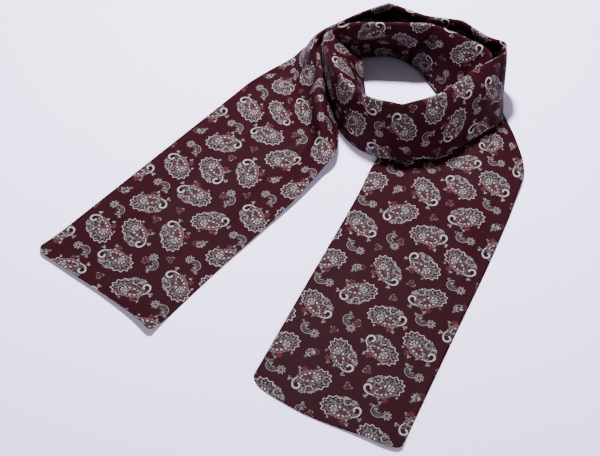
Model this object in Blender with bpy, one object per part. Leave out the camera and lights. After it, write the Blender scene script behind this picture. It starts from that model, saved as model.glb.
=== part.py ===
"""A silk neck scarf, lying on a table as it would be worn: one folded and sewn strip of printed
silk. From the end of its left tail it goes up and round behind an empty neck, across the front,
round behind the neck again inside the first layer, down to the right under the front, and out
to the end of its right tail.

Two measures say where a point of the cloth is. "along" runs from the end of the left tail to
the end of the right one. "across" runs from the long edge on the ring's outer side to the one
on its inner side. Round the neck the strip stands on both of its long edges, folded over a
crest, so each section there has an outer leg and an inner leg. All sizes are in millimetres
until the meshes are made.
"""

from collections import namedtuple

import bpy
import numpy as np

MM = 0.001

# The strip
WIDTH = 160.0
LENGTH = 1660.0
WALL = 1.5
SOFT = 5.0  # how far a fold's rounding reaches on each side of its crest
REST = WALL / 2  # height of the wall's middle where it lies on the table

# The straight parts of the tails: where the outer edge's corner is, and which way the edge runs
LEFT_CORNER = (-271.7, -26.5)
LEFT_RUN = 48.6
RIGHT_CORNER = (94.5, -260.1)
RIGHT_RUN = 64.5
END_LIFT = 1.6  # a tail's end stands this much off the table

GAP = 0.35  # between neighbouring stretches

# A section across the strip. edge, crest and hem are points: the outer long edge, the crest of
# the fold and the inner long edge. fold is the crest's place across the strip. Each leg bows
# from its straight line by so much outwards, away from the other leg, and by so much upwards.
Section = namedtuple("Section", "along fold edge crest hem outer_bow inner_bow")


def left_edge(along, height=REST):
    run = np.radians(LEFT_RUN)
    return (LEFT_CORNER[0] + along * np.cos(run), LEFT_CORNER[1] + along * np.sin(run), height)


def left_tail(along, lift=0.0, narrowing=0.0, hem_lift=0.0, fold=80):
    """A level section of the left tail. Nearer the neck its hem lifts and draws in."""
    run = np.radians(LEFT_RUN)
    x, y, z = left_edge(along, REST + lift)
    width = WIDTH - narrowing
    crest = (x + fold * np.sin(run), y - fold * np.cos(run), z + hem_lift * (fold / width) ** 3)
    hem = (x + width * np.sin(run), y - width * np.cos(run), z + hem_lift)
    return Section(along, fold, (x, y, z), crest, hem, (0, 0), (0, -hem_lift / 4))


def right_tail(along, lift=0.0, fold=80):
    """A level section of the right tail."""
    run = np.radians(RIGHT_RUN)
    back = LENGTH - along
    x = RIGHT_CORNER[0] + back * np.cos(run)
    y = RIGHT_CORNER[1] + back * np.sin(run)
    z = REST + lift
    crest = (x - fold * np.sin(run), y + fold * np.cos(run), z)
    hem = (x - WIDTH * np.sin(run), y + WIDTH * np.cos(run), z)
    return Section(along, fold, (x, y, z), crest, hem, (0, 0), (0, 0))


SECTIONS = [
    left_tail(0, lift=END_LIFT),
    left_tail(18),
    left_tail(105, hem_lift=1),
    left_tail(169, hem_lift=2.5),
    left_tail(235, narrowing=1, hem_lift=6.5, fold=90),
    left_tail(271, narrowing=4, hem_lift=10, fold=110),
    # the pleat, where the tail rises against the ring's left side
    Section(295, 128, left_edge(295), (20, 110, 14), (39, 93, 16), (0, -6), (0, 0)),
    Section(320, 128, left_edge(320), (22, 132, 28), (41.5, 121, 22), (0, -17), (0, 4)),
    Section(347, 118, (-40, 231, REST), (20, 166, 32), (37.5, 149, 22), (3, -20), (0, 4)),
    Section(386, 106, (-10.5, 253.5, 1), (24, 187, 35), (31, 181, 5), (6, -9), (1, 1)),
    Section(425, 84, (11, 274, 3), (18, 233, 52), (29, 210, 5), (3, 1), (3, 0)),
    # the outer layer behind the neck
    Section(465, 80, (46, 284, 3), (51, 244, 72), (45, 265, 4), (3, 0), (3, 0)),
    Section(512, 82, (104, 291, 3), (101, 263, 80), (104, 277, 3), (5, 0), (3, 0)),
    Section(553, 82, (146, 275, 3), (139, 245, 79), (144, 261, 3), (5, 0), (3, 0)),
    Section(600, 82, (195, 258, 3), (184, 235, 79), (189, 246, 3), (5, 0), (3, 0)),
    Section(640, 80, (222, 229, 3), (212, 208, 79), (215, 218, 3), (5, 0), (3, 0)),
    # the turn at the right, where the inner leg is gathered short over the tail
    Section(660, 78, (233, 204, 3), (229, 201, 79), (222, 204, 20), (2, 0), (3, 0)),
    Section(676, 78, (232, 178, 8), (227, 184, 79), (224, 188, 58), (2, 0), (2, 0)),
    Section(695, 78, (227, 147, 12), (214, 173, 79), (210, 177, 70), (4, 0), (1, 0)),
    Section(730, 78, (203, 120, 18), (185, 149, 80), (175, 160, 54), (7, 3), (2, 0)),
    # the front
    Section(772, 78, (160, 98, 8), (150, 120, 80), (142, 134, 20), (5, 0), (3, 0)),
    Section(812, 78, (112, 91, 5), (109, 105, 80), (105, 121, 8), (4, 0), (4, 0)),
    Section(850, 78, (71, 104, 4), (71, 118, 80), (80, 140, 8), (3, 0), (4, 0)),
    # the turn at the left
    Section(885, 78, (47, 134, 3), (46, 144, 80), (74, 186, 20), (1, 0), (3, 3)),
    Section(925, 78, (36, 181, 3), (30, 183, 80), (72, 219, 28), (0, 0), (3, 3)),
    Section(965, 78, (37, 229, 3), (29, 214, 80), (72, 242, 12), (0, 0), (3, 2)),
    # the inner layer behind the neck
    Section(1000, 78, (66, 262, 3), (55, 229, 80), (78, 252, 5), (5, 0), (4, 0)),
    Section(1050, 78, (112, 264, 3), (107, 231, 80), (113, 253, 4), (5, 0), (4, 0)),
    Section(1095, 78, (153, 248, 3), (150, 229, 80), (147, 229, 3), (5, 0), (3, 0)),
    Section(1135, 78, (188, 224, 3), (184, 208, 80), (163, 194, 4), (4, 0), (2, 0)),
    # the arch that comes down under the front and flattens into the right tail
    Section(1172, 78, (224, 189, 3), (211, 189, 75), (172, 168, 10), (3, 0), (3, 0)),
    Section(1215, 78, (233, 159, 2), (204, 164, 47), (164, 142, 5), (-9, -7), (3, 4)),
    Section(1258, 78, (242, 122, 4), (192, 130, 17), (136, 120, 3), (0, -1), (0, 3)),
    Section(1300, 78, (246, 78, 5), (180, 96, 5), (105, 106, 1), (0, 2), (0, 0)),
    Section(1345, 78, (230, 30, 2), (160, 66, 1), (86, 97, 1), (0, 0), (0, 0)),
    right_tail(1400),
    right_tail(1530),
    right_tail(LENGTH - 18),
    right_tail(LENGTH, lift=END_LIFT),
]

# The stretches that show, from one end to the other
Stretch = namedtuple("Stretch", "name start end")
STRETCHES = [
    Stretch("left_tail", 0, 400),
    Stretch("back_outer", 400, 648),
    Stretch("front_panel", 648, 900),
    Stretch("back_inner", 900, 1160),
    Stretch("right_tail", 1160, LENGTH),
]

# How far apart the mesh's rows are, from each place along the strip
Spacing = namedtuple("Spacing", "start step")
SPACINGS = [Spacing(0, 26), Spacing(250, 8), Spacing(1350, 34)]

# The mesh's columns: this many to each side of the middle, closer together near it
COLUMNS = 10
CROWDING = 0.35

SILK = (0.070, 0.013, 0.022, 1.0)
SILK_ROUGHNESS = 0.45


def leg(start, end, bow, part, out):
    """Points from a long edge to the crest, bowed most two thirds of the way."""
    start, end = np.array(start, float), np.array(end, float)
    side = bow[0] * out + bow[1] * np.array([0, 0, 1.0])
    return start + part[:, None] * (end - start) + (6.75 * part**2 * (1 - part))[:, None] * side


def outward(number):
    """The level direction from a section's crest to the strip's outer side."""
    before = SECTIONS[max(number - 1, 0)].crest
    after = SECTIONS[min(number + 1, len(SECTIONS) - 1)].crest
    run = np.subtract(after, before)[:2].astype(float)
    run /= np.linalg.norm(run)
    return np.array([-run[1], run[0], 0])


def section_points(number, across):
    """A section's middle line at places across the strip, with its crest rounded."""
    section = SECTIONS[number]
    out = outward(number)
    fine = np.arange(-2 * SOFT, WIDTH + 2 * SOFT + 0.01, 0.5)
    outer = leg(section.edge, section.crest, section.outer_bow, fine / section.fold, out)
    part = (WIDTH - fine) / (WIDTH - section.fold)
    inner = leg(section.hem, section.crest, section.inner_bow, part, -out)
    path = np.where((fine < section.fold)[:, None], outer, inner)
    weights = np.hanning(int(4 * SOFT) + 3)[1:-1]
    weights /= weights.sum()
    line = np.empty((len(across), 3))
    for axis in range(3):
        line[:, axis] = np.interp(across, fine, np.convolve(path[:, axis], weights, "same"))
    line[:, 2] = np.maximum(line[:, 2], REST)
    return line


def smooth_between(knots, values, places):
    """A smooth curve through values at knots, taken at places."""
    gaps = np.diff(knots)[:, None, None]
    rises = np.diff(values, axis=0) / gaps
    slopes = np.concatenate([rises[:1], rises[:1], rises[1:]])
    share = gaps[1:] / (gaps[1:] + gaps[:-1])
    slopes[1:-1] = rises[:-1] * share + rises[1:] * (1 - share)
    slopes[-1] = rises[-1]
    before = np.clip(np.searchsorted(knots, places, side="right") - 1, 0, len(knots) - 2)
    gap = gaps[before]
    t = (places - knots[before])[:, None, None] / gap
    return (
        (2 * t**3 - 3 * t**2 + 1) * values[before]
        + (t**3 - 2 * t**2 + t) * gap * slopes[before]
        + (3 * t**2 - 2 * t**3) * values[before + 1]
        + (t**3 - t**2) * gap * slopes[before + 1]
    )


def surface(along, across):
    """The wall's middle, as a grid of points."""
    lines = np.array([section_points(i, across) for i in range(len(SECTIONS))])
    knots = np.array([section.along for section in SECTIONS], float)
    points = smooth_between(knots, lines, along)
    points[..., 2] = np.maximum(points[..., 2], REST)
    return points


def normals(along, across):
    """The way out of the cloth's face, square to the wall."""
    step = 0.5
    run = surface(along + step, across) - surface(along - step, across)
    reach = surface(along, across + step) - surface(along, across - step)
    square = np.cross(reach, run)
    return square / np.linalg.norm(square, axis=2, keepdims=True)


def rows(start, end):
    """Places along the strip for a stretch's rows."""
    places = [start]
    for spacing, following in zip(SPACINGS, SPACINGS[1:] + [Spacing(LENGTH, 1)]):
        first = max(start, spacing.start)
        last = min(end, following.start)
        if first < last:
            count = max(1, round((last - first) / spacing.step))
            places.extend(np.linspace(first, last, count + 1)[1:])
    return np.array(places)


def columns():
    """Places across the strip, closer together near its middle."""
    part = np.linspace(-1, 1, 2 * COLUMNS + 1)
    part = part * (1 - CROWDING) + np.sign(part) * CROWDING * part**2
    return WIDTH * (part + 1) / 2


def wall(along, across):
    """The corners and faces of a closed wall."""
    middle = surface(along, across)
    half = normals(along, across) * WALL / 2
    face = middle + half
    back = middle - half
    for side in (face, back):
        side[..., 2] = np.maximum(side[..., 2], 0)
    number = np.arange(len(along) * len(across)).reshape(len(along), len(across))
    under = number + number.size
    faces = []
    for i in range(len(along) - 1):
        for j in range(len(across) - 1):
            a, b, c, d = number[i, j], number[i + 1, j], number[i + 1, j + 1], number[i, j + 1]
            faces += [(a, d, b), (d, c, b)]
            a, b, c, d = a + number.size, b + number.size, c + number.size, d + number.size
            faces += [(a, b, d), (d, b, c)]
    rim = list(number[:, 0]) + list(number[-1, 1:]) + list(number[-2::-1, -1]) + list(number[0, -2:0:-1])
    for first, second in zip(rim, rim[1:] + rim[:1]):
        faces += [(first, second, second + under[0, 0]), (first, second + under[0, 0], first + under[0, 0])]
    return np.concatenate([face.reshape(-1, 3), back.reshape(-1, 3)]), faces


def silk(name):
    """Burgundy silk twill."""
    material = bpy.data.materials.new(name)
    material.use_nodes = True
    shader = material.node_tree.nodes["Principled BSDF"]
    shader.inputs["Base Color"].default_value = SILK
    shader.inputs["Roughness"].default_value = SILK_ROUGHNESS
    return material


def add(name, points, faces):
    mesh = bpy.data.meshes.new(name)
    mesh.from_pydata([tuple(point) for point in points], [], [tuple(int(i) for i in f) for f in faces])
    mesh.materials.append(silk(name + "_silk"))
    mesh.update()
    body = bpy.data.objects.new(name, mesh)
    bpy.context.collection.objects.link(body)


def main():
    for old in list(bpy.data.objects):
        bpy.data.objects.remove(old, do_unlink=True)
    walls = {}
    for stretch in STRETCHES:
        start = stretch.start + (GAP / 2 if stretch.start > 0 else 0)
        end = stretch.end - (GAP / 2 if stretch.end < LENGTH else 0)
        walls[stretch.name] = wall(rows(start, end), columns())
    points = np.concatenate([corners for corners, _ in walls.values()])
    low, high = points.min(axis=0), points.max(axis=0)
    origin = np.array([(low[0] + high[0]) / 2, (low[1] + high[1]) / 2, low[2]])
    for name, (corners, faces) in walls.items():
        add(name, (corners - origin) * MM, faces)


main()
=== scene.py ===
"""Looks of the silk neck scarf: a soft shell on each stretch of the strip, its paisley print, the
table, the light and the camera.

As in the part, "along" runs from the end of the left tail to the end of the right one and
"across" from the outer long edge to the inner one, in millimetres. The camera and the lamps are
placed in the same millimetres, and place() turns them to the frame's metres.
"""

import math
from collections import namedtuple

import bpy
import mathutils
import numpy as np
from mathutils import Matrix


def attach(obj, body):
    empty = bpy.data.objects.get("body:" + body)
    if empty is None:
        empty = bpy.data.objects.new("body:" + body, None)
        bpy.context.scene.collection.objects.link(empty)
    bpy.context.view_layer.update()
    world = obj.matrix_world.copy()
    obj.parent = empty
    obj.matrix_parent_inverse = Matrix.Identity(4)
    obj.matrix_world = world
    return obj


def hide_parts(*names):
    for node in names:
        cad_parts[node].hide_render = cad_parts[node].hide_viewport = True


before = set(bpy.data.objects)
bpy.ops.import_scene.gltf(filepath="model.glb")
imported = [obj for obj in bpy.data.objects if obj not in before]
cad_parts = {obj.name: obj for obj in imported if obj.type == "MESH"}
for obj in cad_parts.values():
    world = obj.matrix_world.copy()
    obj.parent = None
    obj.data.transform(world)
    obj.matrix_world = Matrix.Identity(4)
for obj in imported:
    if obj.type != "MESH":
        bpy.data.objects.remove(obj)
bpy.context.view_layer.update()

MM = 0.001

# The strip, as in the part
WIDTH = 160.0
LENGTH = 1660.0
WALL = 1.5
SOFT = 5.0  # how far a fold's rounding reaches on each side of its crest
REST = WALL / 2  # height of the wall's middle where it lies on the table
FINE = 0.5  # the step between the points that a section is worked out at
BOW_SCALE = 6.75  # makes a bow as large as it says where it is largest, two thirds of the way

# The straight parts of the tails: where the outer edge's corner is, and which way the edge runs
LEFT_CORNER = (-271.7, -26.5)
LEFT_RUN = 48.6
RIGHT_CORNER = (94.5, -260.1)
RIGHT_RUN = 64.5
END_LIFT = 0.6  # less than in the part, because the ends' curl is added to it

ORIGIN = np.array([-12.661, 16.008, 0.0])  # where the frame's origin is in these millimetres

# A section across the strip. edge, crest and hem are points: the outer long edge, the crest of
# the fold and the inner long edge. fold is the crest's place across the strip. Each leg bows
# from its straight line by so much outwards, away from the other leg, and by so much upwards.
Section = namedtuple("Section", "along fold edge crest hem outer_bow inner_bow")


def left_edge(along, height=REST):
    run = np.radians(LEFT_RUN)
    return (LEFT_CORNER[0] + along * np.cos(run), LEFT_CORNER[1] + along * np.sin(run), height)


def left_tail(along, lift=0.0, narrowing=0.0, hem_lift=0.0, fold=80):
    """A level section of the left tail. Nearer the neck its hem lifts and draws in."""
    run = np.radians(LEFT_RUN)
    x, y, z = left_edge(along, REST + lift)
    width = WIDTH - narrowing
    crest = (x + fold * np.sin(run), y - fold * np.cos(run), z + hem_lift * (fold / width) ** 3)
    hem = (x + width * np.sin(run), y - width * np.cos(run), z + hem_lift)
    return Section(along, fold, (x, y, z), crest, hem, (0, 0), (0, -hem_lift / 4))


def right_tail(along, lift=0.0, fold=80):
    """A level section of the right tail."""
    run = np.radians(RIGHT_RUN)
    back = LENGTH - along
    x = RIGHT_CORNER[0] + back * np.cos(run)
    y = RIGHT_CORNER[1] + back * np.sin(run)
    z = REST + lift
    crest = (x - fold * np.sin(run), y + fold * np.cos(run), z)
    hem = (x - WIDTH * np.sin(run), y + WIDTH * np.cos(run), z)
    return Section(along, fold, (x, y, z), crest, hem, (0, 0), (0, 0))


SECTIONS = [
    left_tail(0, lift=END_LIFT, narrowing=-3.5),
    left_tail(18, narrowing=-2.8),
    left_tail(105, hem_lift=1),
    left_tail(169, hem_lift=2.5),
    left_tail(235, narrowing=1, hem_lift=6.5, fold=90),
    left_tail(271, narrowing=4, hem_lift=10, fold=110),
    # the pleat, where the tail rises against the ring's left side
    Section(295, 128, left_edge(295), (20, 110, 14), (39, 93, 16), (0, -6), (0, 0)),
    Section(320, 128, left_edge(320), (22, 132, 28), (43, 122, 12), (0, -17), (0, 4)),
    Section(347, 118, (-40, 231, REST), (20, 166, 32), (40, 149, 10), (3, -20), (0, 4)),
    Section(386, 106, (-10.5, 253.5, 1), (24, 187, 35), (32, 182, 5), (6, -9), (1, 1)),
    Section(425, 84, (11, 274, 3), (18, 233, 52), (29, 210, 5), (3, 1), (3, 0)),
    # the outer layer behind the neck
    Section(465, 80, (46, 284, 3), (51, 244, 72), (45, 265, 4), (3, 0), (3, 0)),
    Section(512, 82, (104, 291, 3), (101, 264, 80.5), (104, 277, 3), (5, 0), (3, 0)),
    Section(553, 82, (146, 275, 3), (139, 245, 79), (144, 261, 3), (5, 0), (3, 0)),
    Section(600, 82, (195, 258, 3), (184, 235, 79), (189, 246, 3), (5, 0), (3, 0)),
    Section(640, 80, (222, 229, 3), (212, 208, 79), (215, 218, 3), (5, 0), (3, 0)),
    # the turn at the right, where the inner leg is gathered short over the tail
    Section(660, 78, (233, 204, 3), (229, 201, 79), (222, 204, 20), (2, 0), (3, 0)),
    Section(676, 78, (232, 178, 8), (227, 184, 79), (224, 188, 58), (2, 0), (2, 0)),
    Section(695, 78, (227, 147, 12), (214, 173, 79), (210, 177, 70), (4, 0), (1, 0)),
    Section(730, 78, (203, 120, 18), (185, 149, 80), (175, 160, 54), (7, 3), (2, 0)),
    # the front
    Section(772, 78, (160, 98, 8), (150, 120, 80), (142, 134, 20), (5, 0), (3, 0)),
    Section(812, 78, (112, 91, 5), (109, 105, 80), (105, 121, 8), (4, 0), (4, 0)),
    Section(850, 78, (71, 104, 4), (71, 118, 80), (80, 140, 8), (3, 0), (4, 0)),
    # the turn at the left
    Section(885, 78, (46, 134, 3), (46, 144, 80), (74, 186, 20), (2, 0), (3, 3)),
    Section(925, 78, (33.6, 182, 3), (30, 183, 80), (72, 219, 28), (2.5, 0), (3, 3)),
    Section(965, 78, (35, 227, 3), (29, 214, 80), (72, 242, 12), (2, 0), (3, 2)),
    # the inner layer behind the neck
    Section(1000, 78, (66, 262, 3), (55, 229, 80), (78, 252, 5), (5, 0), (4, 0)),
    Section(1050, 78, (112, 264, 3), (107, 231, 80), (113, 253, 4), (5, 0), (4, 0)),
    Section(1095, 78, (153, 248, 3), (150, 229, 80), (139.5, 231, 3), (5, 0), (3, 0)),
    Section(1135, 78, (188, 224, 3), (184, 208, 80), (159, 194, 4), (4, 0), (2, 0)),
    # the arch that comes down under the front and flattens into the right tail
    Section(1172, 78, (224, 189, 3), (211, 189, 75), (172, 168, 10), (3, 0), (3, 0)),
    Section(1215, 78, (233, 159, 2), (204, 164, 47), (164, 142, 5), (-9, -7), (3, 4)),
    Section(1258, 78, (242, 122, 4), (192, 130, 17), (136, 120, 3), (0, -1), (0, 3)),
    Section(1300, 78, (246, 78, 5), (180, 96, 5), (105, 106, 1), (0, 2), (0, 0)),
    Section(1345, 78, (230, 30, 2), (160, 66, 1), (86, 97, 1), (0, 0), (0, 0)),
    right_tail(1400),
    right_tail(1530),
    right_tail(LENGTH - 18),
    right_tail(LENGTH, lift=END_LIFT),
]

# Where a crest turns a corner, how sharply, and how far down the legs the corner reaches
Corner = namedtuple("Corner", "along sharp reach")
CORNERS = [
    Corner(512, 0.9, 30),
    Corner(600, 0.7, 26),
    Corner(660, 0.8, 30),
    Corner(812, 1.0, 34),
    Corner(1095, 0.9, 40),
]

# The stretches that show, from one end to the other, and how the cloth is held there
Stretch = namedtuple("Stretch", "name start end held")
STRETCHES = [
    Stretch("left_tail", 0, 400, "laid"),
    Stretch("back_outer", 400, 648, "folded"),
    Stretch("front_panel", 648, 900, "folded"),
    Stretch("back_inner", 900, 1160, "folded"),
    Stretch("right_tail", 1160, LENGTH, "laid"),
]


def leg(start, end, bow, part, out):
    """Points from a long edge to the crest, bowed most two thirds of the way."""
    start, end = np.array(start, float), np.array(end, float)
    side = bow[0] * out + bow[1] * np.array([0, 0, 1.0])
    return start + part[:, None] * (end - start) + (BOW_SCALE * part**2 * (1 - part))[:, None] * side


def outward(number):
    """The level direction from a section's crest to the strip's outer side."""
    before = SECTIONS[max(number - 1, 0)].crest
    after = SECTIONS[min(number + 1, len(SECTIONS) - 1)].crest
    run = np.subtract(after, before)[:2].astype(float)
    run /= np.linalg.norm(run)
    return np.array([-run[1], run[0], 0])


def section_points(number, across):
    """A section's middle line at places across the strip, with its crest rounded."""
    section = SECTIONS[number]
    out = outward(number)
    fine = np.arange(-2 * SOFT, WIDTH + 2 * SOFT + FINE / 2, FINE)
    outer = leg(section.edge, section.crest, section.outer_bow, fine / section.fold, out)
    part = (WIDTH - fine) / (WIDTH - section.fold)
    inner = leg(section.hem, section.crest, section.inner_bow, part, -out)
    path = np.where((fine < section.fold)[:, None], outer, inner)
    weights = np.hanning(int(2 * SOFT / FINE) + 3)[1:-1]
    weights /= weights.sum()
    line = np.empty((len(across), 3))
    for axis in range(3):
        line[:, axis] = np.interp(across, fine, np.convolve(path[:, axis], weights, "same"))
    line[:, 2] = np.maximum(line[:, 2], REST)
    return line


def sharpness(across):
    """How sharply each section's line turns, most at a crest's corner and fading down the legs."""
    sharp = np.zeros((len(SECTIONS), len(across), 1))
    for number, section in enumerate(SECTIONS):
        for corner in CORNERS:
            if corner.along == section.along:
                away = np.abs(across - section.fold) / corner.reach
                sharp[number, :, 0] = corner.sharp * np.exp(-(away**2))
    return sharp


def smooth_between(knots, values, places, sharp):
    """A smooth curve through values at knots, taken at places, with corners where sharp is over 0."""
    gaps = np.diff(knots)[:, None, None]
    rises = np.diff(values, axis=0) / gaps
    slopes = np.concatenate([rises[:1], rises[:1], rises[1:]])
    share = gaps[1:] / (gaps[1:] + gaps[:-1])
    slopes[1:-1] = rises[:-1] * share + rises[1:] * (1 - share)
    slopes[-1] = rises[-1]
    arriving, leaving = slopes.copy(), slopes.copy()
    arriving[1:] += sharp[1:] * (rises - slopes[1:])
    leaving[:-1] += sharp[:-1] * (rises - slopes[:-1])
    before = np.clip(np.searchsorted(knots, places, side="right") - 1, 0, len(knots) - 2)
    gap = gaps[before]
    t = (places - knots[before])[:, None, None] / gap
    return (
        (2 * t**3 - 3 * t**2 + 1) * values[before]
        + (t**3 - 2 * t**2 + t) * gap * leaving[before]
        + (3 * t**2 - 2 * t**3) * values[before + 1]
        + (t**3 - t**2) * gap * arriving[before + 1]
    )


def surface(along, across):
    """The wall's middle, as a grid of points."""
    lines = np.array([section_points(i, across) for i in range(len(SECTIONS))])
    knots = np.array([section.along for section in SECTIONS], float)
    points = smooth_between(knots, lines, along, sharpness(across))
    points[..., 2] = np.maximum(points[..., 2], REST)
    return points


def normals(along, across):
    """The way out of the cloth's face, square to the wall."""
    step = 0.5
    run = surface(along + step, across) - surface(along - step, across)
    reach = surface(along, across + step) - surface(along, across - step)
    square = np.cross(reach, run)
    return square / np.linalg.norm(square, axis=2, keepdims=True)


# Creases run through places on the cloth, as (along, across). A trough's height is negative.
Crease = namedtuple("Crease", "height width places")
CREASES = [
    # the left tail's pleat: its trough, its ridge and the folds beside them
    Crease(-3.5, 7, [(446, 98), (425, 96), (390, 84), (360, 92), (330, 103), (296, 115), (256, 122)]),
    Crease(2.2, 7, [(412, 100), (390, 101), (346, 119), (322, 129), (296, 136), (272, 142)]),
    Crease(-1.9, 6, [(405, 40), (380, 46), (340, 62), (300, 78)]),
    Crease(-1.6, 9, [(330, 20), (290, 44), (240, 62)]),
    Crease(-0.9, 12, [(226, 96), (180, 112), (130, 118)]),
    Crease(1.1, 14, [(210, 40), (150, 52), (90, 60)]),
    # the outer layer behind the neck
    Crease(-2.7, 6, [(512, 88), (506, 110), (500, 140)]),
    Crease(-2.4, 8, [(506, 70), (498, 44), (500, 12)]),
    Crease(-2.2, 8, [(560, 66), (572, 40), (590, 14)]),
    Crease(1.9, 10, [(540, 72), (536, 40), (530, 10)]),
    Crease(-2.0, 7, [(612, 72), (624, 46), (628, 14)]),
    # the turn at the right
    Crease(-2.2, 5, [(664, 74), (672, 48), (690, 20)]),
    Crease(-1.6, 6, [(686, 70), (702, 46), (718, 18)]),
    # the front
    Crease(-2.2, 6, [(812, 80), (806, 56), (792, 26)]),
    Crease(-1.6, 10, [(744, 72), (736, 40), (742, 8)]),
    Crease(1.6, 12, [(776, 70), (770, 40), (764, 10)]),
    Crease(-1.9, 12, [(846, 72), (838, 44), (842, 10)]),
    # the turn at the left
    Crease(-2.4, 6, [(948, 66), (916, 48), (888, 18)]),
    Crease(-2.7, 6, [(952, 96), (930, 116), (906, 146)]),
    Crease(-2.2, 5, [(976, 92), (962, 120), (950, 150)]),
    # the inner layer behind the neck
    Crease(3.7, 9, [(975, 98), (1000, 97), (1032, 97), (1062, 95), (1088, 90)]),
    Crease(-2.4, 11, [(1000, 124), (1040, 124), (1076, 120)]),
    Crease(-3.5, 5, [(1096, 82), (1084, 108), (1072, 134), (1066, 158)]),
    Crease(2.2, 8, [(1112, 96), (1108, 122), (1104, 150)]),
    Crease(-2.2, 8, [(1030, 66), (1040, 40), (1036, 10)]),
    # the arch and the right tail
    Crease(-2.4, 6, [(1168, 84), (1160, 112), (1168, 146)]),
    Crease(-1.9, 8, [(1226, 60), (1258, 48), (1300, 40)]),
    Crease(-1.1, 12, [(1306, 92), (1346, 86), (1400, 92)]),
    Crease(1.2, 13, [(1330, 30), (1390, 36), (1460, 30)]),
    Crease(-0.8, 14, [(1440, 110), (1500, 96), (1570, 104)]),
]


CREASE_FADE = 2.2  # how far from its ends a crease fades out, in its own widths


def creased(along, across):
    """How far the face stands out from the plain wall."""
    a, c = np.meshgrid(along, across, indexing="ij")
    rise = np.zeros(a.shape)
    for crease in CREASES:
        away = np.full(a.shape, np.inf)
        for (a0, c0), (a1, c1) in zip(crease.places, crease.places[1:]):
            run, reach = a1 - a0, c1 - c0
            share = np.clip(((a - a0) * run + (c - c0) * reach) / (run**2 + reach**2), 0, 1)
            away = np.minimum(away, np.hypot(a - a0 - share * run, c - c0 - share * reach))
        ends = [np.hypot(a - a0, c - c0) for a0, c0 in (crease.places[0], crease.places[-1])]
        fade = np.clip(np.minimum(*ends) / (CREASE_FADE * crease.width), 0, 1)
        rise += crease.height * fade * np.exp(-((away / crease.width) ** 2))
    return rise


# How a tail's end departs from a straight, flat one: how far each place across it reaches past
# the strip's length, and how far it curls up
End = namedtuple("End", "across reach lift")
LEFT_END = [
    End(0, -1.2, 2.8),
    End(2, 2.2, 2.9),
    End(5, 4.2, 3.0),
    End(10, 5.8, 3.0),
    End(20, 4.6, 3.0),
    End(35, 3.5, 3.0),
    End(60, 1.6, 3.0),
    End(80, -0.4, 3.0),
    End(100, -1.8, 3.5),
    End(120, -2.6, 4.6),
    End(135, -2.8, 5.7),
    End(150, -1.4, 6.5),
    End(156, -0.6, 6.5),
    End(160, -3.4, 6.4),
]
RIGHT_END = [
    End(0, -1.6, 2.6),
    End(2, 1.4, 2.6),
    End(5, 3.2, 2.6),
    End(10, 4.5, 2.6),
    End(20, 5.1, 2.4),
    End(35, 5.0, 1.8),
    End(50, 5.3, 1.0),
    End(65, 6.2, 0.2),
    End(85, 6.8, 0.0),
    End(100, 6.3, 0.0),
    End(115, 4.8, 0.0),
    End(130, 2.7, 0.0),
    End(142, 0.6, 0.0),
    End(150, -2.0, 0.0),
    End(154.5, -4.8, 0.0),
    End(157.5, -7.2, 0.0),
    End(159, -9.4, 0.0),
    End(160, -12.5, 0.0),
]
SHAPED = 60.0  # how far from its end a tail is drawn out or in
CURLED = 34.0  # and how far it is lifted


def end_shape(along, across):
    """How far each place is drawn along the strip near a tail's end, and how far it is lifted.
    Places across that are past the strip's width are on its underside, back from the inner edge."""
    a, c = np.meshgrid(along, WIDTH - np.abs(WIDTH - across), indexing="ij")
    drawn, lifted = np.zeros(a.shape), np.zeros(a.shape)
    for rows, inwards, sign in ((LEFT_END, a, -1), (RIGHT_END, LENGTH - a, 1)):
        at = [row.across for row in rows]
        reach = np.interp(c, at, [row.reach for row in rows])
        lift = np.interp(c, at, [row.lift for row in rows])
        near = np.clip(1 - inwards / SHAPED, 0, 1)
        drawn += sign * near**2 * (3 - 2 * near) * reach
        lifted += np.clip(1 - inwards / CURLED, 0, 1) ** 2 * lift
    return drawn, lifted


# How far the print has drifted from an even layout: along and across the cloth, and how much
# further along it is for each mm across
Drift = namedtuple("Drift", "at along across lean")
DRIFTS = [
    Drift(0, -1.1, -1.2, 0.025),
    Drift(250, 1.1, 1.2, 0.020),
    Drift(300, 0.0, 2.0, 0.010),
    Drift(372, 1.5, 2.5, 0.0),
    Drift(523, 3.8, 4.0, 0.0),
    Drift(640, 10.0, 4.5, 0.0),
    Drift(691, 13.5, 5.0, 0.0),
    Drift(740, 14.5, 6.2, 0.0),
    Drift(767, 12.0, 6.2, 0.0),
    Drift(801, 5.5, 6.2, 0.0),
    Drift(833, -0.7, 6.2, 0.0),
    Drift(863, -3.8, 6.2, 0.0),
    Drift(905, -7.0, 3.0, 0.0),
    Drift(1000, -0.5, 0.5, 0.0),
    Drift(1060, 2.5, 0.0, 0.0),
    Drift(1090, 4.0, 0.0, 0.0),
    Drift(1134, 9.0, 1.0, 0.0),
    Drift(1200, 8.5, 1.0, 0.0),
    Drift(1300, 5.0, 1.0, 0.0),
    Drift(1345, 4.0, -1.0, 0.0),
    Drift(1375, -0.5, -1.5, -0.004),
    Drift(1405, -4.4, -0.9, -0.007),
    Drift(1525, -5.0, -1.8, -0.007),
    Drift(1660, -5.7, -2.8, -0.007),
]


def print_places(along, across):
    """Where in the print's even layout each place on the cloth is, in mm."""
    a, c = np.meshgrid(along, across, indexing="ij")
    at = [drift.at for drift in DRIFTS]
    further, aside, lean = (
        np.interp(a, at, [getattr(drift, measure) for drift in DRIFTS])
        for measure in ("along", "across", "lean")
    )
    drawn, _ = end_shape(along, across)
    return a + drawn - further - lean * (c - WIDTH / 2), c - aside


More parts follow.
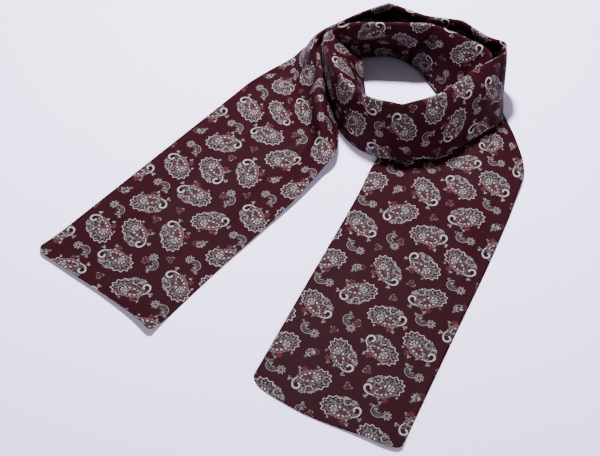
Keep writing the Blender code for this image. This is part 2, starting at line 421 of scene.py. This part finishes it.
# How far apart a shell's rows are, from each place along the strip, and where its first rows
# are beside a tail's end
Spacing = namedtuple("Spacing", "start step")
SPACINGS = [Spacing(0, 5.0), Spacing(230, 2.5), Spacing(1400, 5.0)]
END_ROWS = np.array([0.3, 0.8, 1.6])

# A shell's columns: where they are beside a long edge, and how far apart they are from there on
EDGE_COLUMNS = np.array([0, 0.15, 0.5, 1.0, 1.8])
EVEN_FROM = 3.0
COLUMN_STEP = 2.6

# The soft strip's thickness
HALF = 0.8  # half of it
ROUNDING = 1.4  # how far in from an edge it is rounded off
ROLL = 0.35  # how much fuller each half is in the roll beside a long edge
ROLL_AT = 3.0  # where the roll is, from the edge
ROLL_WIDTH = 2.5

CREASED_FROM = 12.0  # how far in from a long edge the creases have their full height
FACE_LOW = 0.30  # how low the face may come
BACK_LOW = 0.12  # and the underside
BEYOND = 2.5  # how far past a join the shell is worked out, so that its shading runs on


def shell_rows(start, end):
    """Places along the strip for a shell's rows."""
    places = [np.array([float(start)])]
    for spacing, following in zip(SPACINGS, SPACINGS[1:] + [Spacing(LENGTH, 1)]):
        first, last = max(start, spacing.start), min(end, following.start)
        if first < last:
            count = max(1, round((last - first) / spacing.step))
            places.append(np.linspace(first, last, count + 1)[1:])
    places = np.concatenate(places)
    if start == 0:
        places = np.concatenate([places[:1], END_ROWS, places[1:]])
    if end == LENGTH:
        places = np.concatenate([places[:-1], LENGTH - END_ROWS[::-1], places[-1:]])
    return places


def shell_columns():
    """Places across the strip for a shell's columns."""
    count = round((WIDTH - 2 * EVEN_FROM) / COLUMN_STEP)
    even = np.linspace(EVEN_FROM, WIDTH - EVEN_FROM, count + 1)
    return np.concatenate([EDGE_COLUMNS, even, (WIDTH - EDGE_COLUMNS)[::-1]])


def rounded(distance, reach):
    """A quarter circle's height, from 0 at an edge to 1 at reach and beyond."""
    near = np.clip(distance / reach, 0, 1)
    return np.sqrt(1 - (1 - near) ** 2)


def shell_points(along, across):
    """The face's and the underside's points."""
    middle = surface(along, across)
    out = normals(along, across)
    a, c = np.meshgrid(along, across, indexing="ij")
    drawn, lifted = end_shape(along, across)
    left, right = np.radians(LEFT_RUN), np.radians(RIGHT_RUN)
    ways = ((np.cos(left), np.sin(left), 0), (-np.cos(right), -np.sin(right), 0))
    middle += drawn[..., None] * np.where((a < LENGTH / 2)[..., None], *ways)
    middle[..., 2] += lifted
    beside = np.minimum(c, WIDTH - c)
    ahead = np.minimum(a, LENGTH - a)
    half = HALF + ROLL * np.exp(-(((beside - ROLL_AT) / ROLL_WIDTH) ** 2))
    half = half * rounded(beside, ROUNDING) * rounded(ahead, ROUNDING)
    rise = creased(along, across) * rounded(beside, CREASED_FROM)
    face = middle + out * (rise + half)[..., None]
    back = middle + out * (rise - half)[..., None]
    face[..., 2] = np.maximum(face[..., 2], FACE_LOW)
    back[..., 2] = np.maximum(back[..., 2], BACK_LOW)
    return face, back


def shell_rings(along, across, joined):
    """A ring of points round the strip at each place along it, over the face and back under it,
    and the way out of the shell at each point. joined says which ends meet another stretch."""
    before, after = along[:1] - BEYOND, along[-1:] + BEYOND
    wide = np.concatenate([before[: joined[0]], along, after[: joined[1]]])
    face, back = shell_points(wide, across)
    rings = np.concatenate([face, back[:, -2:0:-1]], axis=1)
    side = np.roll(rings, -1, axis=1) - np.roll(rings, 1, axis=1)
    out = np.cross(side, np.gradient(rings, axis=0))
    keep = slice(int(joined[0]), -1 if joined[1] else None)
    return rings[keep], out[keep]


def close_ends(number, out, columns, joined):
    """Faces over the ends that meet another stretch. At a tail's end the strip has no thickness
    left, so the underside's points there give way to the face's, which number and out are told."""
    ring = number.shape[1]
    under = np.concatenate([[0], np.arange(ring - 1, columns - 1, -1), [columns - 1]])
    faces = []
    for row, meets in ((0, joined[0]), (-1, joined[1])):
        over, below = number[row, :columns], number[row, under]
        if meets:
            cap = np.stack([over[:-1], over[1:], below[1:], below[:-1]], axis=1)
            faces.append(cap if row == 0 else cap[:, ::-1])
        else:
            out[row, :columns] += out[row, under]
            number[row, under] = over
    return faces


def shell(stretch, material):
    """A stretch's soft tube of cloth, closed at both ends."""
    along = shell_rows(stretch.start, stretch.end)
    across = shell_columns()
    joined = (stretch.start > 0, stretch.end < LENGTH)
    rings, out = shell_rings(along, across, joined)
    number = np.arange(rings[..., 0].size).reshape(rings.shape[:2])
    caps = close_ends(number, out, len(across), joined)
    following = np.roll(number, -1, axis=1)
    sides = np.stack([number[:-1], following[:-1], following[1:], number[1:]], axis=-1)
    used, index = np.unique(np.concatenate([sides.reshape(-1, 4), *caps]), return_inverse=True)
    points = (rings.reshape(-1, 3)[used] - ORIGIN) * MM
    out = out.reshape(-1, 3)[used]
    out /= np.maximum(np.linalg.norm(out, axis=1, keepdims=True), 1e-12)
    # a cap's first and last faces have three corners, because the strip's edges are sharp there
    polygons = [list(dict.fromkeys(face)) for face in index.reshape(-1, 4).tolist()]
    mesh = bpy.data.meshes.new(stretch.name + "_cloth")
    mesh.from_pydata(points.tolist(), [], polygons)
    mesh.materials.append(material)
    layer = mesh.uv_layers.new(name="cloth")
    layer.data.foreach_set("uv", shell_print(along, across, len(mesh.loops)))
    mesh.polygons.foreach_set("use_smooth", [True] * len(mesh.polygons))
    mesh.update()
    mesh.normals_split_custom_set_from_vertices(out.tolist())
    piece = bpy.data.objects.new(stretch.name + "_cloth", mesh)
    bpy.context.collection.objects.link(piece)
    return piece


def shell_print(along, across, count):
    """The print's places at the corners of a shell's faces, the caps' last and left at 0."""
    around = np.concatenate([across, 2 * WIDTH - across[-2:0:-1], [2 * WIDTH]])
    at = np.stack(print_places(along, around), axis=-1)
    sides = np.stack([at[:-1, :-1], at[:-1, 1:], at[1:, 1:], at[1:, :-1]], axis=2)
    places = np.zeros(2 * count, np.float32)
    places[: sides.size] = sides.reshape(-1) * MM
    return places


# Numbers in a material's nodes


class Number:
    """A number worked out by nodes, with the usual arithmetic."""

    def __init__(self, tree, socket):
        self.tree = tree
        self.socket = socket

    def __add__(self, other):
        return sum_up("ADD", self, other)

    def __radd__(self, other):
        return sum_up("ADD", other, self)

    def __sub__(self, other):
        return sum_up("SUBTRACT", self, other)

    def __rsub__(self, other):
        return sum_up("SUBTRACT", other, self)

    def __mul__(self, other):
        return sum_up("MULTIPLY", self, other)

    def __rmul__(self, other):
        return sum_up("MULTIPLY", other, self)

    def __truediv__(self, other):
        return sum_up("DIVIDE", self, other)


def sum_up(operation, *values, clamp=False):
    """A math node's result from numbers, plain ones or a material's."""
    tree = next(v.tree for v in values if isinstance(v, Number))
    node = tree.nodes.new("ShaderNodeMath")
    node.operation = operation
    node.use_clamp = clamp
    for slot, value in zip(node.inputs, values):
        if isinstance(value, Number):
            tree.links.new(value.socket, slot)
        else:
            slot.default_value = value
    return Number(tree, node.outputs[0])


def sine(a):
    return sum_up("SINE", a)


def angle(y, x):
    return sum_up("ARCTAN2", y, x)


def least(a, b):
    return sum_up("MINIMUM", a, b)


def most(a, b):
    return sum_up("MAXIMUM", a, b)


def size_of(a):
    return sum_up("ABSOLUTE", a)


def fraction(a):
    return sum_up("FRACT", a)


def ramp(low, high, value):
    """0 below low, 1 above high, straight between; low may be the higher one."""
    scale = 1 / (high - low)
    return sum_up("MULTIPLY_ADD", value, scale, -low * scale, clamp=True)


def length(x, y):
    return sum_up("SQRT", sum_up("MULTIPLY_ADD", x, x, y * y))


def wrapped(value, period):
    """How far a value is past the nearest whole number of periods."""
    return sum_up("WRAP", value, period / 2, -period / 2)


def choose(which, a, b):
    """b where which is 1, a where it is 0."""
    return sum_up("MULTIPLY_ADD", which, b - a, a)


BLUR = 0.3  # how soft the print's edges are


def line(distance, width):
    """1 on a line of this width, 0 beside it."""
    return ramp(width / 2 + BLUR / 2, width / 2 - BLUR / 2, size_of(distance))


def inside(distance):
    """1 where the distance outside a shape is negative, 0 where it isn't."""
    return ramp(BLUR / 2, -BLUR / 2, distance)


def oval(x, y, middle_x, middle_y, half_x, half_y):
    """Roughly the distance outside an oval."""
    return (length((x - middle_x) / half_x, (y - middle_y) / half_y) - 1) * min(half_x, half_y)


def petals(x, y, heart, reach, count, turned):
    """Roughly the distance outside a flower of so many petals."""
    return length(x, y) - heart - reach * size_of(sine(angle(y, x) * (count / 2) + turned))


# The print. A motif's function works in the motif's own measures: its numbers are places and
# sizes in mm from the motif's middle, angles in radians, and tones from 0 to 1, as in TONES.
# cover is where the motif hides the ground, and clumps is an uneven 0 to 1 that breaks it up.
WHOLE_TURN = 6.2832


def paisley(x, y, flower, clumps):
    """A big motif's tone, red share and cover. x runs from its bulb to its curl and y towards
    its belly, and flower is where the flower on its back is."""
    tone, cover = paisley_body(x, y, clumps)
    tone, cover = paisley_bulb(x, y, clumps, tone, cover)
    tone, red = paisley_drop(x, y, clumps, tone)
    tone, red, cover = paisley_curl(x, y, tone, red, cover)
    return paisley_flowers(x, y, flower, clumps, tone, red, cover)


def paisley_body(x, y, clumps):
    """An oval with a leafy belly, a dotted back and a scroll."""
    bx, by = (x - 1.0) / 15.5, (y - 0.4) / 11.4
    out = length(bx, by)
    around = angle(by, bx)
    belly = ramp(0.0, 0.3, around) * ramp(2.4, 2.2, around)
    leaf = size_of(sine(around * 5.0 + 0.6))
    fringe = size_of(sine(around * 16.0 + 0.9))
    edge = out - choose(belly, 0.08 * fringe, 0.11 * leaf + 0.07 * fringe)
    high = 11.0
    cover = inside((edge - 1.0) * high)
    tone = 0.08 + 0.50 * clumps
    leaves = ramp(0.15, 0.60, leaf) * ramp(0.60, 0.70, out) * belly
    tone = most(tone, leaves * (0.34 + 0.42 * clumps))
    tone = most(tone, (0.25 + 0.50 * fringe) * line((edge - 0.96) * high, 0.9))
    scroll = length(x - 4.4, y - 8.0)
    tone = most(tone, 0.78 * line(scroll - 3.5 + 0.12 * x, 1.2) * ramp(4.5, 3.0, y - 5.0))
    tone = tone * (1.0 - 0.7 * line(scroll - 2.0, 1.1))
    return tone, cover


def paisley_bulb(x, y, clumps, tone, cover):
    """A zigzag edge round the bulb, and a fan of petals inside it, one under each tooth."""
    bx, by = (x + 7.2) / 13.2, (y - 0.9) / 10.8
    around = angle(by, bx * -1.0)
    out = length(bx, by)
    bulb = ramp(1.85, 1.70, size_of(around - 0.30))
    tooth = 0.52
    zigzag = (out - 1.08) * 12.2 + 2.7 * size_of(wrapped(around, tooth)) / (tooth / 2)
    disc = bulb * inside(zigzag)
    petal = ramp(-0.3, 0.5, sine(around * 12.08 + 1.57)) * ramp(0.90, 0.84, out)
    fan = petal * (0.30 + 0.40 * clumps)
    heart = 0.05 + 0.50 * ramp(0.74, 0.64, out) * clumps
    tone = choose(disc, tone, most(fan, heart))
    rim = bulb * line(zigzag, 1.1)
    tone = choose(rim, tone, 0.92)
    return tone, most(cover, most(disc, rim))


def paisley_drop(x, y, clumps, tone):
    """Beads in the shape of a drop, round a flower and a red streak."""
    rx = x + 0.8
    ry = y + 3.7 + 0.20 * rx
    dx, dy = rx / 9.6, ry / (4.3 - 0.14 * rx)
    drop = length(dx, dy)
    around = angle(dy, dx)
    high = 4.6
    tone = choose(inside((drop - 1.34) * high), tone, 0.12 + 0.20 * clumps)
    tone = most(tone, 0.50 * line((drop - 1.34) * high, 0.8))
    reach = length(rx, ry) / (drop + 0.01)
    beads = 13
    bead = length((drop - 1.0) * reach, (fraction(around * beads / WHOLE_TURN) - 0.5) * 3.6)
    tone = most(tone, 0.95 * inside(bead - 1.1))
    tone = choose(inside((drop - 0.72) * high), tone, 0.14 + 0.30 * clumps)
    fx, fy = x + 5.9, y + 2.5
    near = length(fx, fy)
    dots = 5
    dot = length(near - 1.9, (fraction(angle(fy, fx) * dots / WHOLE_TURN) - 0.5) * 2.4)
    tone = most(tone, inside(near - 2.9) * (0.70 - 0.66 * inside(dot - 0.62)))
    red = inside(oval(x, y + 0.25 * x, 1.6, -4.6, 4.0, 1.0))
    red = most(red, 0.65 * inside(oval(x, y + 0.15 * x, 5.0, 1.8, 3.6, 1.5)))
    red = most(red, 0.60 * line((drop - 1.50) * high, 0.9) * ramp(-0.9, -1.2, around))
    return tone, red


def paisley_curl(x, y, tone, red, cover):
    """The pale curl, which narrows towards its start, round a dark hollow."""
    cx, cy = x - 14.4, y - 0.6
    around = angle(cy * 0.667 - cx * 0.745, cx * 0.667 + cy * 0.745) + 0.84
    early = least(around, 0.0)
    far = length(cx, cy)
    arm = size_of(far - 4.1 - 1.2 * early * early + 0.45 * most(around, 0.0))
    on = ramp(-2.25, -2.0, around)
    half = 1.05 + 0.20 * early
    hollow = inside(far - 3.4)
    tone = choose(most(hollow, inside(arm - half - 0.7) * on), tone, 0.02)
    cover = most(cover, hollow)
    curl = inside(arm - half) * on
    red = red * (1.0 - most(hollow, curl))
    tone = most(tone, 0.92 * curl)
    return tone, red, most(cover, curl)


def paisley_flowers(x, y, flower, clumps, tone, red, cover):
    """The flower on the back with a leaf beside it, the trefoil by the curl, and two leaflets."""
    fx, fy = x - flower, y + 14.2
    bloom = inside(petals(fx, fy, 2.4, 1.0, 5, 0.0))
    ringed = size_of(sine(length(fx, fy) * 1.9 + 0.7))
    red = most(red, bloom * ramp(0.10, 0.55, ringed))
    cover = most(cover, bloom)
    leaves = inside(petals(fx - 4.4, fy + 2.2, 0.9, 1.3, 3, 0.4))
    leaves = most(leaves, inside(petals(x - 18.5, y + 8.6, 1.1, 1.6, 3, 0.9)))
    leaves = most(leaves, inside(oval(size_of(x + 2.8), y, 9.3, -12.2, 1.3, 1.7)))
    tone = choose(leaves, tone, 0.35 + 0.45 * clumps)
    return tone, red, most(cover, leaves)


def small_paisley(x, y, clumps):
    """A small motif's tone and cover: a flower at its head, a hooked body, and a leaf past it. x
    runs from its flower to its hook, y towards the hook's side."""
    hx, hy = x + 6.9, y - 0.4
    head = length(hx, hy)
    tooth = 0.785
    star = head - 5.2 + 2.0 * size_of(wrapped(angle(hy, hx), tooth)) / (tooth / 2)
    cover = inside(star)
    tone = 0.12 + 0.36 * clumps
    tone = most(tone, 0.85 * line(star + 0.2, 1.0))
    tone = most(tone, 0.75 * line(head - 1.9, 0.9))
    tone = tone * (1.0 - 0.9 * inside(head - 1.0))
    ax, ay = x - 2.6, y - 2.0
    around = angle(ay, ax)
    late = most(around + 0.6, 0.0)
    arm = length(ax, ay) - 4.9 + 1.0 * late
    on = ramp(1.3, 1.1, around) * ramp(-3.0, -2.8, around)
    wide = 2.9 - 0.45 * late
    body = inside(size_of(arm) - wide) * on
    tone = choose(body, tone, 0.06 + 0.34 * clumps)
    tone = most(tone, 0.70 * line(size_of(arm) - wide + 0.3, 0.9) * on)
    dashes = ramp(0.35, 0.55, fraction(around * 2.2))
    tone = most(tone, 0.55 * line(arm, 0.8) * on * dashes)
    cover = most(cover, body)
    end = inside(oval(x, y, 5.4, 2.2, 1.9, 1.4))
    tone = most(tone, 0.60 * end)
    leaf = inside(oval(x, y, 10.6, 4.6, 2.4, 1.6))
    tone = choose(leaf, tone, 0.30 + 0.40 * clumps)
    return tone, most(cover, most(leaf, end))


def rosette(x, y, clumps):
    """A scalloped disc's tone, red share and cover, with a red crescent behind it and a leaf
    ahead. x runs from the crescent to the leaf."""
    crescent = inside(size_of(length(x + 4.0, y + 2.0) - 2.8) - 1.1)
    dx, dy = x - 0.8, y - 0.6
    scallops = size_of(sine(angle(dy, dx) * 4.0))
    disc = inside(length(dx / 6.0, dy / 5.0) * 5.0 - 4.9 + 0.7 * scallops)
    far = length(x + 0.8, y + 1.6)
    tone = choose(disc, 0.30, 0.30 + 0.50 * clumps)
    tone = choose(inside(far - 3.7) * disc, tone, 0.08)
    tone = choose(inside(far - 2.9), tone, 0.25 + 0.60 * clumps)
    leaf = inside(oval(x, y, 7.4, -0.4, 1.9, 1.4))
    tone = choose(leaf, tone, 0.50)
    return tone, crescent * (1.0 - disc) * 0.45, most(crescent, most(disc, leaf))


def sprig(x, y, clumps):
    """A small red flower's tone, red share and cover, with a paler edge."""
    rim = petals(x, y, 2.2, 2.8, 3, 0.8)
    cover = inside(rim)
    edge = line(rim + 0.5, 1.0)
    tone = 0.10 + 0.42 * edge * clumps + 0.26 * clumps
    return tone, cover * (0.25 + 0.55 * clumps) * (1.0 - 0.6 * edge), cover


# The print's layout: the size of its repeat, its corner's place in repeats, and how much further
# along it is for each mm across, counted from a place across
REPEAT = (115.0, 113.0)
CORNER = (0.508, 0.24)
SKEW = 0.016
SKEW_FROM = 60.0

# Where a motif is, in repeats from the print's corner and nudged by so many mm, which way it
# points, which side its belly is on, and where the flower on its back is
Motif = namedtuple("Motif", "along across nudge_along nudge_across to_along to_across side flower")
PAISLEYS = [
    Motif(0.513, 0.120, 0.1, 2.5, 0.471, 0.882, 1, 0.5),
    Motif(0.000, 0.000, 1.4, 0.4, 0.390, -0.921, -1, -4.5),
    Motif(0.185, 0.308, -0.5, 0.3, -0.467, 0.884, 1, 2.0),
    Motif(0.375, 0.573, 1.5, 1.0, 0.671, -0.741, -1, -4.0),
    Motif(-0.147, 0.392, -0.1, -1.2, -0.240, -0.971, -1, 3.0),
    Motif(-0.282, 0.723, 1.5, 1.1, 0.682, 0.731, -1, 1.0),
]
SMALL_PAISLEYS = [
    Motif(-0.265, 0.037, 1.7, 3.9, -0.030, 1.000, 1, 0),
    Motif(0.284, -0.051, -0.4, 1.5, -0.250, 0.968, 1, 0),
    Motif(0.038, 0.658, 1.5, 1.9, -0.800, 0.600, 1, 0),
]
ROSETTES = [Motif(0.481, -0.159, -0.6, 0.3, 0.850, 0.527, 1, 0)]
SPRIGS = [
    Motif(-0.369, 0.425, 0.8, -0.6, 1.0, 0.1, 1, 0),
    Motif(0.420, 0.333, 0.0, 0.0, 0.9, 0.3, 1, 0),
    Motif(0.180, 0.769, -0.2, -0.3, 1.0, -0.2, 1, 0),
    Motif(0.027, 0.595, 0.0, 1.0, 0.8, 0.5, 1, 0),
]


def nearest(along, across, motifs, middle=(0.0, 0.0), longer=1.0):
    """Where a point is in the nearest motif's own measures, and where that motif's flower is.
    middle is the motifs' middle, and longer is how many times longer than wide they count."""
    best = None
    for motif in motifs:
        p = wrapped(along - (motif.along + CORNER[0]) * REPEAT[0] - motif.nudge_along, REPEAT[0])
        q = wrapped(across - (motif.across + CORNER[1]) * REPEAT[1] - motif.nudge_across, REPEAT[1])
        x = p * motif.to_along + q * motif.to_across
        y = (q * motif.to_along - p * motif.to_across) * motif.side
        if len(motifs) == 1:
            return x, y, 0.0
        far = length((x - middle[0]) / longer, y - middle[1])
        if best is None:
            flower = x * 0.0 + motif.flower  # a Number, which choose needs
            best = (far, x, y, flower)
        else:
            closer = sum_up("LESS_THAN", far, best[0])
            pairs = zip(best[1:], (x, y, motif.flower))
            best = (least(far, best[0]), *(choose(closer, old, new) for old, new in pairs))
    return best[1:]


# Tones of the print from its darkest to its palest, and its other colours
TONES = [
    (0.0, (0.0062, 0.0021, 0.0033)),
    (0.3, (0.0212, 0.0150, 0.0162)),
    (0.6, (0.0720, 0.0625, 0.0610)),
    (1.0, (0.2550, 0.2020, 0.2060)),
]
GROUND = (0.0138, 0.0026, 0.0044)
RED = (0.044, 0.0055, 0.0080)

# The noise that makes the clumps: its scale to a metre of cloth, its detail, and its values
# where a clump starts and where it is full
GRAIN_SCALE = 470.0
GRAIN_DETAIL = 1.0
CLUMPS = (0.40, 0.61)

# The silk's finish
ROUGHNESS = 0.5
SPECULAR = 0.009


def toned(tree, tone):
    """The print's colour for a tone."""
    stops = tree.nodes.new("ShaderNodeValToRGB")
    elements = stops.color_ramp.elements
    while len(elements) < len(TONES):
        elements.new(0.5)
    for element, (position, colour) in zip(elements, TONES):
        element.position = position
        element.color = (*colour, 1)
    tree.links.new(tone.socket, stops.inputs[0])
    return stops.outputs[0]


def painted(tree, under, share, colour):
    """A colour laid over another. Each is a socket or a plain one."""
    mix = tree.nodes.new("ShaderNodeMix")
    mix.data_type = "RGBA"
    factor, a, b = (mix.inputs[i] for i in (0, 6, 7))
    tree.links.new(share.socket, factor)
    for socket, value in ((a, under), (b, colour)):
        if isinstance(value, tuple):
            socket.default_value = (*value, 1)
        else:
            tree.links.new(value, socket)
    return mix.outputs[2]


def print_colour(tree, along, across, clumps):
    """The ground with every motif laid over it."""
    x, y, flower = nearest(along, across, PAISLEYS, middle=(1.0, -1.5), longer=1.25)
    tone, red, cover = paisley(x, y, flower, clumps)
    colour = painted(tree, GROUND, cover, toned(tree, tone))
    colour = painted(tree, colour, red, RED)
    x, y, _ = nearest(along, across, SMALL_PAISLEYS)
    tone, cover = small_paisley(x, y, clumps)
    colour = painted(tree, colour, cover, toned(tree, tone))
    for motifs, drawn in ((ROSETTES, rosette), (SPRIGS, sprig)):
        x, y, _ = nearest(along, across, motifs)
        tone, red, cover = drawn(x, y, clumps)
        colour = painted(tree, colour, cover, toned(tree, tone))
        colour = painted(tree, colour, red, RED)
    return colour


def silk_material():
    """Printed silk, laid out by the cloth's own measures, without the twill's weave."""
    material = bpy.data.materials.new("silk")
    material.use_nodes = True
    tree = material.node_tree
    cloth = tree.nodes.new("ShaderNodeUVMap")
    cloth.uv_map = "cloth"
    measures = tree.nodes.new("ShaderNodeSeparateXYZ")
    tree.links.new(cloth.outputs[0], measures.inputs[0])
    across = Number(tree, measures.outputs[1]) * (1 / MM)
    along = Number(tree, measures.outputs[0]) * (1 / MM) + (across - SKEW_FROM) * SKEW
    grain = tree.nodes.new("ShaderNodeTexNoise")
    grain.inputs["Scale"].default_value = GRAIN_SCALE
    grain.inputs["Detail"].default_value = GRAIN_DETAIL
    tree.links.new(cloth.outputs[0], grain.inputs["Vector"])
    clumps = ramp(*CLUMPS, Number(tree, grain.outputs[0]))
    shader = tree.nodes["Principled BSDF"]
    tree.links.new(print_colour(tree, along, across, clumps), shader.inputs["Base Color"])
    shader.inputs["Roughness"].default_value = ROUGHNESS
    shader.inputs["Specular IOR Level"].default_value = SPECULAR
    return material


# The photograph's view, with the camera in the strip's millimetres
CAMERA = (0.0, -788.67, 1019.9)
TILT = 37.715  # degrees from straight down
LENS = 72.82
SENSOR = 36.0
CLIP = (0.05, 50.0)  # metres

# The table: its colour, half its width in metres, and its finish
TABLE = (0.80, 0.71, 1.0)
TABLE_HALF = 6.0
TABLE_ROUGHNESS = 0.9
TABLE_SPECULAR = 0.1

# The light. A lamp stands at a place and points towards another, both in the strip's
# millimetres. Its size is in metres and its power in watts
Lamp = namedtuple("Lamp", "name place towards size power colour")
LAMPS = [
    Lamp("key", (-10, 440, 1050), (30, 420, 0), 0.13, 59, (0.95, 0.92, 1.0)),
    Lamp("fill", (660, -5500, 800), (40, 60, 0), 3.2, 530, (0.96, 0.91, 0.97)),
]
SKY = (0.97, 0.96, 0.91)
SKY_STRENGTH = 0.3


def place(point):
    """A point of the strip's millimetres, in the frame's metres."""
    return tuple((np.array(point) - ORIGIN) * MM)


def camera():
    data = bpy.data.cameras.new("camera")
    data.lens = LENS
    data.sensor_width = SENSOR
    data.clip_start, data.clip_end = CLIP
    eye = bpy.data.objects.new("camera", data)
    eye.location = place(CAMERA)
    eye.rotation_euler = (math.radians(TILT), 0, 0)
    bpy.context.collection.objects.link(eye)
    bpy.context.scene.camera = eye


def table():
    mesh = bpy.data.meshes.new("table")
    half = TABLE_HALF
    corners = [(-half, -half, 0), (half, -half, 0), (half, half, 0), (-half, half, 0)]
    mesh.from_pydata(corners, [], [(0, 1, 2, 3)])
    material = bpy.data.materials.new("table")
    material.use_nodes = True
    shader = material.node_tree.nodes["Principled BSDF"]
    shader.inputs["Base Color"].default_value = (*TABLE, 1)
    shader.inputs["Roughness"].default_value = TABLE_ROUGHNESS
    shader.inputs["Specular IOR Level"].default_value = TABLE_SPECULAR
    mesh.materials.append(material)
    top = bpy.data.objects.new("table", mesh)
    bpy.context.collection.objects.link(top)


def lamps():
    for lamp in LAMPS:
        data = bpy.data.lights.new(lamp.name, "AREA")
        data.shape = "DISK"
        data.size = lamp.size
        data.energy = lamp.power
        data.color = lamp.colour
        light = bpy.data.objects.new(lamp.name, data)
        light.location = place(lamp.place)
        way = mathutils.Vector(place(lamp.towards)) - light.location
        light.rotation_euler = way.to_track_quat("-Z", "Y").to_euler()
        bpy.context.collection.objects.link(light)
    world = bpy.data.worlds.new("studio")
    world.use_nodes = True
    sky = world.node_tree.nodes["Background"]
    sky.inputs["Color"].default_value = (*SKY, 1)
    sky.inputs["Strength"].default_value = SKY_STRENGTH
    bpy.context.scene.world = world


def main():
    camera()
    table()
    lamps()
    silk = silk_material()
    for number, stretch in enumerate(STRETCHES):
        piece = shell(stretch, silk)
        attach(piece, "root")
        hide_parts(stretch.name)
        cut = (WIDTH * MM, (stretch.end - stretch.start) * MM)


main()
